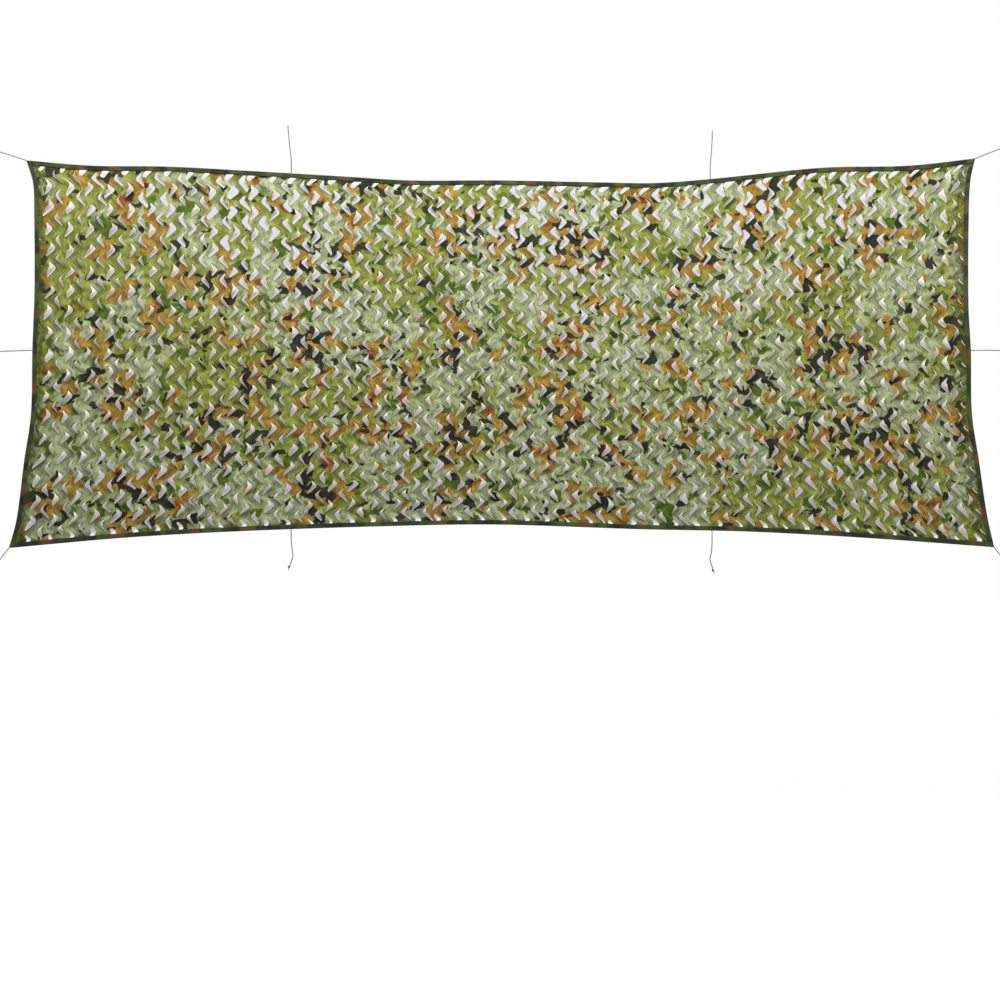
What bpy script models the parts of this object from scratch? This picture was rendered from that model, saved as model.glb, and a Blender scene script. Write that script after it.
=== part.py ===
"""A camouflage net of leaf-cut cloth, 4 m by 1.5 m, strung upright by ten cords.

+X runs along the net to its right-hand end, -Y faces the viewer and +Z is up.
The origin is the middle of the net's top edge. All sizes are in metres.

The sheet and its binding are worked out flat, as they are cut: "along" runs from the left-hand
edge and "down" from the top edge of the 4 m by 1.5 m cloth. hang() then says where a point of
the flat cloth is once the net is strung up and has pulled its edges into curves.
"""

import math

import bmesh
import bpy
from mathutils import Vector
from mathutils.geometry import delaunay_2d_cdt

# The cloth as it is cut
CUT_LENGTH = 4.0
CUT_HEIGHT = 1.5
SHEET_THICKNESS = 0.0015

# The tape folded over the sheet's edge
BINDING_DEPTH = 0.020
BINDING_THICKNESS = 0.0012
BINDING_CREST = 0.0055
BINDING_CREST_AT = 0.0020
BINDING_ROLL_DEPTH = 0.0065
BINDING_STEP = 0.12
SOFT_GAP = 0.0003
LEG_PLAY = 0.0002
SHEET_INSET = 0.004

# The cloth lies flat beside the tape, and swells only further in
FLAT_BESIDE_TAPE = 0.002
SWELL_STARTS = 0.004
SWELL_RAMP = 0.11

# The leaf cuts, in rows that are drawn at twice the real net's pitch. The ones next to the two
# short sides are pulled shut: there the leaf is a crease in the cloth, and not a gap.
LEAF_PITCH = 0.176
ROW_PITCH = 0.0815
LEAF_ROWS = 17
LEAVES_IN_LONG_ROW = 22
OPEN_IN_LONG_ROW = 18
LEAF_LIFT = 0.011
LEAF_DIP = 0.004
OPEN_LEAF = (
    # along and down from the leaf's centre, and the share of the lift (or dip, below nought)
    (-0.026, -0.058, 0.2),
    (-0.012, -0.060, -0.4),
    (0.034, -0.006, -1.0),
    (-0.040, 0.058, -0.3),
    (-0.052, 0.050, 0.4),
    (-0.014, -0.004, 1.0),
)
SHUT_LEAF = (
    # along, down, share of the lift or dip
    (-0.018, -0.052, 0.0),
    (0.020, -0.006, -1.0),
    (-0.040, 0.050, 0.0),
    (0.002, -0.004, 0.8),
)

# The strung net's four edges, each from its first corner to its last
TOP_EDGE = (
    # x, z
    (-1.993, 0.084),
    (-1.722, 0.062),
    (-1.407, 0.058),
    (-1.058, 0.040),
    (-0.651, 0.016),
    (-0.386, 0.000),
    (0.000, 0.000),
    (0.449, -0.009),
    (0.647, -0.011),
    (0.882, 0.006),
    (1.348, 0.053),
    (1.714, 0.062),
    (1.991, 0.092),
)
BOTTOM_EDGE = (
    # x, z
    (-2.066, -1.543),
    (-1.567, -1.499),
    (-1.058, -1.471),
    (-0.386, -1.449),
    (0.000, -1.445),
    (0.580, -1.464),
    (1.058, -1.475),
    (1.567, -1.503),
    (2.071, -1.540),
)
LEFT_EDGE = (
    # x, z
    (-1.993, 0.084),
    (-1.965, -0.010),
    (-1.960, -0.145),
    (-1.959, -0.464),
    (-1.968, -0.714),
    (-1.974, -0.981),
    (-2.003, -1.182),
    (-2.034, -1.422),
    (-2.066, -1.543),
)
RIGHT_EDGE = (
    # x, z
    (1.991, 0.092),
    (1.971, 0.000),
    (1.964, -0.149),
    (1.963, -0.520),
    (1.973, -0.712),
    (1.978, -0.981),
    (2.008, -1.182),
    (2.040, -1.400),
    (2.071, -1.540),
)

# Soft swells of the hung cloth, and the folds that run in from where the cords pull
SWELLS = (
    # share along, share down, reach along, reach down, height towards the viewer
    (0.14, 0.62, 0.30, 0.42, 0.012),
    (0.28, 0.30, 0.34, 0.36, -0.012),
    (0.42, 0.66, 0.32, 0.34, 0.014),
    (0.56, 0.30, 0.36, 0.38, -0.010),
    (0.70, 0.64, 0.34, 0.36, 0.013),
    (0.86, 0.36, 0.30, 0.44, -0.011),
)
FOLD_FADE = 0.6
FOLDS = (
    # share along and down at its start, and at its end, width, height
    (0.004, 0.50, 0.045, 0.57, 0.022, 0.011),
    (0.004, 0.48, 0.050, 0.41, 0.024, -0.010),
    (0.996, 0.50, 0.955, 0.57, 0.022, 0.011),
    (0.996, 0.48, 0.950, 0.41, 0.024, -0.010),
    (0.006, 0.02, 0.060, 0.20, 0.028, 0.010),
    (0.994, 0.02, 0.940, 0.20, 0.028, 0.010),
    (0.006, 0.98, 0.060, 0.80, 0.030, 0.010),
    (0.994, 0.98, 0.940, 0.80, 0.030, 0.010),
)

# The tie cords
CORD_DIAMETER = 0.004
CORD_STEP = 2.6 * CORD_DIAMETER
KNOT_LENGTH = 0.011
KNOT_WIDTH = 0.0095
EYE_LENGTH = 0.038
EYE_WIDTH = 0.022
EYE_STEPS = 14
EYE_MOUTH = 0.045
TIES = (
    # name, what is on its end, along and down where it leaves the edge, then its route on from there
    ("top_left_corner", "eye", (0.000, 0.000), ((-2.050, 0.1025), (-2.110, 0.1215))),
    ("top_right_corner", "eye", (4.000, 0.000), ((2.050, 0.1155), (2.110, 0.1390))),
    ("bottom_left_corner", "eye", (0.000, 1.500), ((-2.090, -1.5735), (-2.114, -1.6040))),
    ("bottom_right_corner", "eye", (4.000, 1.500), ((2.092, -1.5665), (2.113, -1.5930))),
    ("left_side", "eye", (0.000, 0.733), ((-2.040, -0.7155), (-2.112, -0.7185))),
    ("right_side", "eye", (4.000, 0.738), ((2.042, -0.7130), (2.111, -0.7145))),
    ("top_left", "bare", (1.116, 0.000), ((-0.881, 0.080), (-0.889, 0.160), (-0.895, 0.229))),
    ("top_right", "bare", (2.881, 0.000), ((0.879, 0.060), (0.885, 0.140), (0.888, 0.208))),
    (
        "bottom_left",
        "knot",
        (1.146, 1.500),
        ((-0.8805, -1.514), (-0.877, -1.552), (-0.8745, -1.580), (-0.887, -1.618)),
    ),
    (
        "bottom_right",
        "knot",
        (2.854, 1.500),
        ((0.8865, -1.516), (0.884, -1.560), (0.878, -1.590), (0.890, -1.632)),
    ),
)

COLOURS = {
    # linear red, green, blue, then roughness
    "leaf_cloth": (0.27, 0.36, 0.12, 0.75),
    "binding_tape": (0.045, 0.060, 0.022, 0.80),
    "tie_cord": (0.11, 0.11, 0.10, 0.70),
}


def clear_scene():
    """Empties the file and makes the collection that the net goes in."""
    for old in list(bpy.data.objects):
        bpy.data.objects.remove(old)
    collection = bpy.data.collections.new("camouflage_net")
    bpy.context.scene.collection.children.link(collection)
    return collection


def make_material(name):
    """A plain Principled material in one of the net's colours."""
    red, green, blue, roughness = COLOURS[name]
    material = bpy.data.materials.new(name)
    material.use_nodes = True
    shader = material.node_tree.nodes["Principled BSDF"]
    shader.inputs["Base Color"].default_value = (red, green, blue, 1.0)
    shader.inputs["Roughness"].default_value = roughness
    shader.inputs["Metallic"].default_value = 0.0
    material.diffuse_color = (red, green, blue, 1.0)
    return material


def through(points, share):
    """The point at a share of the way along a smooth curve through the given 2D points.

    The share runs evenly over the points' own distances, and each stretch is a cubic whose slope
    at a point is that of the line between its two neighbours.
    """
    spots = [Vector(point) for point in points]
    reach = [0.0]
    for before, after in zip(spots, spots[1:]):
        reach.append(reach[-1] + (after - before).length)
    target = min(max(share, 0.0), 1.0) * reach[-1]
    k = 0
    while k < len(spots) - 2 and reach[k + 1] < target:
        k += 1
    span = reach[k + 1] - reach[k]
    t = (target - reach[k]) / span

    def slope(i):
        low = max(i - 1, 0)
        high = min(i + 1, len(spots) - 1)
        return (spots[high] - spots[low]) / (reach[high] - reach[low])

    start, end = spots[k], spots[k + 1]
    return (
        start * (2 * t**3 - 3 * t**2 + 1)
        + slope(k) * span * (t**3 - 2 * t**2 + t)
        + end * (3 * t**2 - 2 * t**3)
        + slope(k + 1) * span * (t**3 - t**2)
    )


def spread(along, down):
    """Where a point of the flat cloth is in the plane of the strung net, as (x, z).

    The four edge curves are blended across the cloth, so that its rows follow the edges.
    """
    u = along / CUT_LENGTH
    v = down / CUT_HEIGHT
    corners = (
        Vector(TOP_EDGE[0]) * (1 - u) * (1 - v)
        + Vector(TOP_EDGE[-1]) * u * (1 - v)
        + Vector(BOTTOM_EDGE[0]) * (1 - u) * v
        + Vector(BOTTOM_EDGE[-1]) * u * v
    )
    return (
        through(TOP_EDGE, u) * (1 - v)
        + through(BOTTOM_EDGE, u) * v
        + through(LEFT_EDGE, v) * (1 - u)
        + through(RIGHT_EDGE, v) * u
        - corners
    )


def near_edge(along, down):
    """0 at the binding, rising to 1 a hand's breadth inside it."""
    to_edge = min(along, CUT_LENGTH - along, down, CUT_HEIGHT - down)
    ramp = min(max((to_edge - BINDING_DEPTH - SWELL_STARTS) / SWELL_RAMP, 0.0), 1.0)
    return ramp * ramp * (3 - 2 * ramp)


def distance_to_line(point, start, end):
    """The distance from a point to a straight stretch, and how far along the stretch it lies."""
    line = end - start
    share = min(max((point - start).dot(line) / line.length_squared, 0.0), 1.0)
    return (point - start - line * share).length, share


def bulge(along, down):
    """How far the hung cloth stands towards the viewer: its soft swells plus its pulled folds."""
    here = Vector((along, down))
    total = 0.0
    for share_along, share_down, reach_along, reach_down, height in SWELLS:
        across = (along - share_along * CUT_LENGTH) / reach_along
        below = (down - share_down * CUT_HEIGHT) / reach_down
        total += height * math.exp(-across * across - below * below)
    for from_along, from_down, to_along, to_down, width, height in FOLDS:
        start = Vector((from_along * CUT_LENGTH, from_down * CUT_HEIGHT))
        end = Vector((to_along * CUT_LENGTH, to_down * CUT_HEIGHT))
        distance, share = distance_to_line(here, start, end)
        total += height * (1 - FOLD_FADE * share) * math.exp(-((distance / width) ** 2))
    return total * near_edge(along, down)


def hang(along, down, lift=0.0):
    """The place in space of a point of the flat cloth, lifted towards the viewer by lift."""
    x, z = spread(along, down)
    return Vector((x, -bulge(along, down) - lift, z))


def leaf_centres():
    """Each leaf cut's centre, the way its elbow points (1 is right, -1 left) and if it is open."""
    shut_each_side = (LEAVES_IN_LONG_ROW - OPEN_IN_LONG_ROW) // 2
    for row in range(LEAF_ROWS):
        down = CUT_HEIGHT / 2 + (row - (LEAF_ROWS - 1) / 2) * ROW_PITCH
        count = LEAVES_IN_LONG_ROW - row % 2
        for column in range(count):
            along = CUT_LENGTH / 2 + (column - (count - 1) / 2) * LEAF_PITCH
            is_open = shut_each_side <= column < count - shut_each_side
            yield along, down, -1 if row % 2 else 1, is_open


def rectangle(inset):
    """A closed run of points on the flat cloth, all at the same distance in from its edge."""
    left, right = inset, CUT_LENGTH - inset
    top, bottom = inset, CUT_HEIGHT - inset
    across = round(CUT_LENGTH / BINDING_STEP)
    upright = round(CUT_HEIGHT / BINDING_STEP)
    run = [(left + (right - left) * k / across, top, 0.0) for k in range(across)]
    run += [(right, top + (bottom - top) * k / upright, 0.0) for k in range(upright)]
    run += [(right - (right - left) * k / across, bottom, 0.0) for k in range(across)]
    run += [(left, bottom - (bottom - top) * k / upright, 0.0) for k in range(upright)]
    return run


def leaf_points(along, down, facing, outline):
    """One leaf cut's points on the flat cloth, as (along, down, lift)."""
    points = []
    for across, below, share in outline[::facing]:
        lift = share * (LEAF_LIFT if share > 0 else LEAF_DIP)
        points.append((along + facing * across, down + below, lift))
    return points


def flat_sheet():
    """The flat sheet as points (along, down, lift), edges between them and the gaps' loops."""
    points = []
    edges = []
    gaps = []

    def add_loop(loop):
        first = len(points)
        points.extend(loop)
        last = len(points) - 1
        edges.extend((k, k + 1) for k in range(first, last))
        edges.append((last, first))
        return list(range(first, last + 1))

    add_loop(rectangle(SHEET_INSET))
    add_loop(rectangle(BINDING_DEPTH + FLAT_BESIDE_TAPE))
    for along, down, facing, is_open in leaf_centres():
        if is_open:
            gaps.append(add_loop(leaf_points(along, down, facing, OPEN_LEAF)))
        else:
            points.extend(leaf_points(along, down, facing, SHUT_LEAF))
    return points, edges, gaps


def make_sheet(collection, material):
    """The leaf-cut sheet: triangles between its rim and its gaps, hung up, then given thickness."""
    points, edges, gaps = flat_sheet()
    flat = [Vector(point[:2]) for point in points]
    places, _, faces, sources, _, face_sources = delaunay_2d_cdt(flat, edges, gaps, 0, 1e-5)
    bm = bmesh.new()
    for place, source in zip(places, sources):
        lift = points[source[0]][2] if source else 0.0
        bm.verts.new(hang(place.x, place.y, lift))
    bm.verts.ensure_lookup_table()
    for face, inside_gap in zip(faces, face_sources):
        if not inside_gap:
            bm.faces.new([bm.verts[k] for k in face])
    loose = [vert for vert in bm.verts if not vert.link_faces]
    bmesh.ops.delete(bm, geom=loose, context="VERTS")
    bmesh.ops.recalc_face_normals(bm, faces=bm.faces)
    sheet = object_from(bm, "net_sheet", material, collection)
    add_thickness(sheet, SHEET_THICKNESS)


def object_from(bm, name, material, collection):
    """A new object from a bmesh, with its material, in the net's collection."""
    mesh = bpy.data.meshes.new(name)
    bm.to_mesh(mesh)
    bm.free()
    mesh.materials.append(material)
    made = bpy.data.objects.new(name, mesh)
    collection.objects.link(made)
    return made


def add_thickness(made, thickness):
    """Gives an open surface an even thickness, half to each side."""
    solidify = made.modifiers.new("thickness", "SOLIDIFY")
    solidify.thickness = thickness
    solidify.offset = 0.0
    solidify.use_even_offset = True
    solidify.use_quality_normals = True


def binding_section():
    """The folded tape's middle line, as (distance in from the edge, distance to the viewer)."""
    leg = SHEET_THICKNESS / 2 + SOFT_GAP + BINDING_THICKNESS / 2 + LEG_PLAY
    crest = BINDING_CREST / 2
    half = (
        (BINDING_DEPTH, leg),
        (BINDING_ROLL_DEPTH, leg),
        (BINDING_CREST_AT, crest),
        (0.0, crest / 2),
    )
    return half + tuple((inset, -lift) for inset, lift in reversed(half))


def make_binding(name, start, end, inward, collection, material):
    """One length of tape, folded over the edge from start to end of the flat cloth."""
    section = binding_section()
    start, end, inward = Vector(start), Vector(end), Vector(inward)
    steps = max(2, round((end - start).length / BINDING_STEP))
    bm = bmesh.new()
    bmesh.ops.create_grid(bm, x_segments=steps, y_segments=len(section) - 1, size=1.0)
    for vert in bm.verts:
        along = (vert.co.x + 1) / 2
        fold = round((vert.co.y + 1) / 2 * (len(section) - 1))
        inset, lift = section[fold]
        flat = start.lerp(end, along) + inward * inset
        x, z = spread(flat.x, flat.y)
        vert.co = (x, -lift, z)
    bmesh.ops.recalc_face_normals(bm, faces=bm.faces)
    tape = object_from(bm, name, material, collection)
    add_thickness(tape, BINDING_THICKNESS)


def make_bindings(collection, material):
    """Four tapes: the top and bottom ones run from corner to corner, the sides fit between them."""
    beside = BINDING_DEPTH + BINDING_THICKNESS / 2 + 2 * SOFT_GAP
    low = CUT_HEIGHT - beside
    make_binding("binding_top", (0, 0), (CUT_LENGTH, 0), (0, 1), collection, material)
    make_binding(
        "binding_bottom", (0, CUT_HEIGHT), (CUT_LENGTH, CUT_HEIGHT), (0, -1), collection, material
    )
    make_binding("binding_left", (0, beside), (0, low), (1, 0), collection, material)
    make_binding(
        "binding_right", (CUT_LENGTH, beside), (CUT_LENGTH, low), (-1, 0), collection, material
    )


def make_tube(name, route, collection, material):
    """A round cord along a list of points, as a curve with closed ends."""
    curve = bpy.data.curves.new(name, "CURVE")
    curve.dimensions = "3D"
    curve.bevel_depth = CORD_DIAMETER / 2
    curve.bevel_resolution = 2
    curve.use_fill_caps = True
    spline = curve.splines.new("POLY")
    spline.points.add(len(route) - 1)
    for point, place in zip(spline.points, route):
        point.co = (*place, 1.0)
    curve.materials.append(material)
    made = bpy.data.objects.new(name, curve)
    collection.objects.link(made)


def make_knot(name, near, towards, collection, material):
    """A small tight knot: a round body that starts at near and lies along the cord."""
    bm = bmesh.new()
    bmesh.ops.create_uvsphere(bm, u_segments=10, v_segments=6, radius=0.5)
    turn = Vector((0, 0, 1)).rotation_difference(towards)
    middle = near + towards * (KNOT_LENGTH / 2)
    for vert in bm.verts:
        sized = Vector((vert.co.x * KNOT_WIDTH, vert.co.y * KNOT_WIDTH, vert.co.z * KNOT_LENGTH))
        vert.co = middle + turn @ sized
    knot = object_from(bm, name, material, collection)
    knot.data.shade_smooth()


def eye_route(near, towards):
    """The tied eye: a drop-shaped loop that leaves the knot, goes round and comes back to it."""
    side = towards.cross(Vector((0, 1, 0))).normalized()
    route = []
    for k in range(EYE_STEPS + 1):
        turn = 2 * math.pi * (EYE_MOUTH + (1 - 2 * EYE_MOUTH) * k / EYE_STEPS)
        forward = EYE_LENGTH * (1 - math.cos(turn)) / 2
        sideways = EYE_WIDTH / 2 * math.sin(turn) * math.sin(turn / 2) ** 0.5
        route.append(near + towards * forward - side * sideways)
    return route


def make_tie(name, ending, flat_start, onward, collection, material):
    """One tie cord, from just outside the binding, with the knot and the eye its end has."""
    edge = spread(*flat_start)
    away = (Vector(onward[0]) - edge).normalized()
    on_long_edge = flat_start[1] in (0.0, CUT_HEIGHT)
    through_tape = abs(away.y if on_long_edge else away.x) * BINDING_THICKNESS / 2
    start = edge + away * (through_tape + 2 * SOFT_GAP)
    places = (start, *(Vector(place) for place in onward))
    reach = sum((after - before).length for before, after in zip(places, places[1:]))
    steps = round(reach / CORD_STEP)
    route = [Vector((x, 0.0, z)) for x, z in (through(places, k / steps) for k in range(steps + 1))]
    make_tube(f"tie_{name}", route, collection, material)
    if ending == "bare":
        return
    towards = (route[-1] - route[-2]).normalized()
    knot_start = route[-1] + towards * SOFT_GAP
    make_knot(f"knot_{name}", knot_start, towards, collection, material)
    if ending == "eye":
        eye_start = knot_start + towards * (KNOT_LENGTH + SOFT_GAP)
        make_tube(f"eye_{name}", eye_route(eye_start, towards), collection, material)


def main():
    collection = clear_scene()
    materials = {name: make_material(name) for name in COLOURS}
    make_sheet(collection, materials["leaf_cloth"])
    make_bindings(collection, materials["binding_tape"])
    for name, ending, flat_start, onward in TIES:
        make_tie(name, ending, flat_start, onward, collection, materials["tie_cord"])


main()
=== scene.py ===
import math

import bmesh
import bpy
import numpy as np
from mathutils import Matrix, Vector


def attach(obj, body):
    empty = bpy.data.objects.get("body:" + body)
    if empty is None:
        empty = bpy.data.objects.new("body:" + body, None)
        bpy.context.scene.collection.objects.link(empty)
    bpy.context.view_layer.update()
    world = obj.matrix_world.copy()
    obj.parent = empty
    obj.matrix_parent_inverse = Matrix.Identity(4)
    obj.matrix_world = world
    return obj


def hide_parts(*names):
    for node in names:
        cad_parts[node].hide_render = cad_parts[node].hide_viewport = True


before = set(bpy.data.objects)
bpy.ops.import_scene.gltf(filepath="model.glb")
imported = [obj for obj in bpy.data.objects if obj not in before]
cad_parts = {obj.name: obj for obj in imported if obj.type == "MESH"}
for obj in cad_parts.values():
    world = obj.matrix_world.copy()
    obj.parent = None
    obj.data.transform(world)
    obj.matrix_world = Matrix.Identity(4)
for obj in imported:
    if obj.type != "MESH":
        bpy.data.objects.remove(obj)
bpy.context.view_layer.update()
print("frame loaded:", len(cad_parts), "solids")


# studio: camera, light and floor

studio = {
    "lens": 85.0,
    "sensor": 36.0,
    "framedWidth": 4.2,  # what the camera sees across, at the net
    "aimX": -0.0042,
    "aimZ": -1.342,
    "lightsAim": -0.75,  # the height that the soft lights point at
    "stripPlace": (-0.1, -2.0, 1.75),  # a long strip light over the net's front
    "stripSize": (7.6, 0.5),
    "stripPower": 236.0,
    "stripColour": (1.0, 0.975, 0.93),
    "sideFrom": (-0.72, -0.48, 0.50),  # an even, harder light from up on the left
    "sideSoftness": 12.0,  # degrees
    "sidePower": 0.30,
    "sideColour": (1.0, 0.97, 0.91),
    "fillPlace": (5.5, -5.0, -0.6),
    "fillSize": (3.5, 3.5),
    "fillPower": 42.0,
    "fillColour": (0.95, 0.97, 1.0),
    "backPlace": (2.0, 5.5, 3.0),
    "backSize": (3.0, 3.0),
    "backPower": 240.0,
    "backColour": (1.0, 0.98, 0.95),
    "skyColour": (0.97, 0.985, 1.0, 1.0),
    "skyLight": 0.085,
    "floorZ": -3.72,
    "floorReach": 13.0,
    # where the floor's rim is half faded and how wide its fade is, as shares of its reach
    "floorFade": (0.62, 0.60),
    "floorGlow": (0.8, 0.8, 0.8, 1.0),
}


def makeCamera():
    cameraData = bpy.data.cameras.new("camera")
    cameraData.lens = studio["lens"]
    cameraData.sensor_width = studio["sensor"]
    camera = bpy.data.objects.new("camera", cameraData)
    distance = studio["framedWidth"] * studio["lens"] / studio["sensor"]
    camera.location = (studio["aimX"], -distance, studio["aimZ"])
    camera.rotation_euler = (math.pi / 2, 0.0, 0.0)
    bpy.context.scene.collection.objects.link(camera)
    bpy.context.scene.camera = camera


def placeLight(name, lightData, place, towards):
    light = bpy.data.objects.new(name, lightData)
    light.location = place
    light.rotation_euler = Vector(towards).to_track_quat("-Z", "Y").to_euler()
    light.visible_camera = False
    bpy.context.scene.collection.objects.link(light)


def makeSideLight():
    lightData = bpy.data.lights.new("side", "SUN")
    lightData.angle = math.radians(studio["sideSoftness"])
    lightData.energy = studio["sidePower"]
    lightData.color = studio["sideColour"]
    placeLight("sideLight", lightData, (0.0, 0.0, 3.0), [-part for part in studio["sideFrom"]])


def makeSoftLight(name):
    lightData = bpy.data.lights.new(name, "AREA")
    lightData.shape = "RECTANGLE"
    lightData.size, lightData.size_y = studio[name + "Size"]
    lightData.energy = studio[name + "Power"]
    lightData.color = studio[name + "Colour"]
    x, y, z = studio[name + "Place"]
    placeLight(name + "Light", lightData, (x, y, z), (-x, -y, studio["lightsAim"] - z))


# shader nodes, written as Python expressions


class Socket:
    # one output of a node; the operators on it add Math nodes
    def __init__(self, nodes, link):
        self.nodes = nodes
        self.link = link

    def math(self, operation, first, second=0.0):
        return self.nodes.add("ShaderNodeMath", {"operation": operation}, {0: first, 1: second})

    def __add__(self, other):
        return self.math("ADD", self, other)

    __radd__ = __add__

    def __sub__(self, other):
        return self.math("SUBTRACT", self, other)

    def __rsub__(self, other):
        return self.math("SUBTRACT", other, self)

    def __mul__(self, other):
        return self.math("MULTIPLY", self, other)

    __rmul__ = __mul__

    def __truediv__(self, other):
        return self.math("DIVIDE", self, other)

    def least(self, other):
        return self.math("MINIMUM", self, other)

    def most(self, other):
        return self.math("MAXIMUM", self, other)

    def sine(self):
        return self.math("SINE", self)

    def clamped(self):
        return self.nodes.add("ShaderNodeClamp", {}, {0: self})

    def above(self, edge, softness):
        # 0 well below the edge and 1 well above it
        return ((self - edge) / softness + 0.5).clamped()


class Nodes:
    # the node tree of one material, or of the world
    def __init__(self, tree):
        self.tree = tree

    def add(self, kind, settings=None, inputs=None, give=0):
        node = self.tree.nodes.new(kind)
        for name, value in (settings or {}).items():
            setattr(node, name, value)
        for key, value in (inputs or {}).items():
            if isinstance(value, Socket):
                self.tree.links.new(value.link, node.inputs[key])
            else:
                node.inputs[key].default_value = value
        return Socket(self, node.outputs[give]) if len(node.outputs) else None

    def mix(self, share, first, second, blend="MIX"):
        settings = {"data_type": "RGBA", "blend_type": blend}
        return self.add("ShaderNodeMix", settings, {0: share, 6: first, 7: second}, 2)

    def noise(self, place, scale, detail=2.0, roughness=0.5, give=0):
        inputs = {"Vector": place, "Scale": scale, "Detail": detail, "Roughness": roughness}
        return self.add("ShaderNodeTexNoise", {}, inputs, give)

    def bands(self, place, direction, scale):
        settings = {"wave_type": "BANDS", "bands_direction": direction}
        return self.add("ShaderNodeTexWave", settings, {"Vector": place, "Scale": scale}, 1)

    def bump(self, height, strength):
        # the height is in metres
        inputs = {"Strength": strength, "Distance": 1.0, "Height": height}
        return self.add("ShaderNodeBump", {}, inputs)

    def moved(self, place, shift=(0.0, 0.0), scale=(1.0, 1.0), turn=0.0):
        # a flat place shifted, stretched and turned in its own plane
        inputs = {"Vector": place, "Location": (*shift, 0.0), "Scale": (*scale, 1.0)}
        return self.add("ShaderNodeMapping", {}, {**inputs, "Rotation": (0.0, 0.0, turn)})


def rgb(red, green, blue):
    # a colour picked as 0 to 255 on screen, as the linear values a shader takes
    def linear(value):
        value = value / 255
        return value / 12.92 if value <= 0.04045 else ((value + 0.055) / 1.055) ** 2.4

    return (linear(red), linear(green), linear(blue), 1.0)


def newMaterial(name):
    material = bpy.data.materials.new(name)
    material.use_nodes = True
    material.node_tree.nodes.clear()
    return material, Nodes(material.node_tree)


def finishMaterial(nodes, inputs):
    shader = nodes.add("ShaderNodeBsdfPrincipled", {}, inputs)
    nodes.add("ShaderNodeOutputMaterial", {}, {"Surface": shader})


def flatPlace(nodes):
    return nodes.add("ShaderNodeUVMap", {"uv_map": "flat"})


def splitPlace(nodes, place):
    node = nodes.add("ShaderNodeSeparateXYZ", {}, {"Vector": place}).link.node
    return [Socket(nodes, output) for output in node.outputs]


def makeWorld():
    world = bpy.data.worlds.new("studioWorld")
    world.use_nodes = True
    world.node_tree.nodes.clear()
    nodes = Nodes(world.node_tree)
    seen = nodes.add("ShaderNodeLightPath")
    white = nodes.add("ShaderNodeBackground", {}, {"Color": (1.0, 1.0, 1.0, 1.0), "Strength": 1.0})
    sky = {"Color": studio["skyColour"], "Strength": studio["skyLight"]}
    lit = nodes.add("ShaderNodeBackground", {}, sky)
    both = nodes.add("ShaderNodeMixShader", {}, {0: seen, 1: lit, 2: white})
    nodes.add("ShaderNodeOutputWorld", {}, {"Surface": both})
    bpy.context.scene.world = world


def makeFloor():
    # a pale round floor whose rim fades into the backdrop
    reach = studio["floorReach"]
    bpy.ops.mesh.primitive_circle_add(vertices=96, radius=reach, fill_type="TRIFAN")
    floor = bpy.context.object
    floor.name = "studioFloor"
    floor.location = (0.0, 0.0, studio["floorZ"])
    material, nodes = newMaterial("paleFloor")
    place = nodes.add("ShaderNodeTexCoord", give=3)
    far = nodes.add("ShaderNodeVectorMath", {"operation": "LENGTH"}, {0: place}, 1)
    fadesAt, fadeWidth = studio["floorFade"]
    fade = 1 - far.above(reach * fadesAt, reach * fadeWidth)
    # its own glow shows, and lights nothing
    seen = nodes.add("ShaderNodeLightPath")
    glow = nodes.mix(seen, (0.0, 0.0, 0.0, 1.0), studio["floorGlow"])
    inputs = {"Base Color": rgb(240, 240, 240), "Roughness": 0.9, "Alpha": fade}
    finishMaterial(nodes, {**inputs, "Emission Color": glow, "Emission Strength": 1.0})
    floor.data.materials.append(material)


makeCamera()
makeSoftLight("strip")
makeSideLight()
makeSoftLight("fill")
makeSoftLight("back")
makeWorld()
makeFloor()
bpy.context.scene.view_settings.view_transform = "Standard"
print("studio set up")


# how the flat cloth hangs

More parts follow.
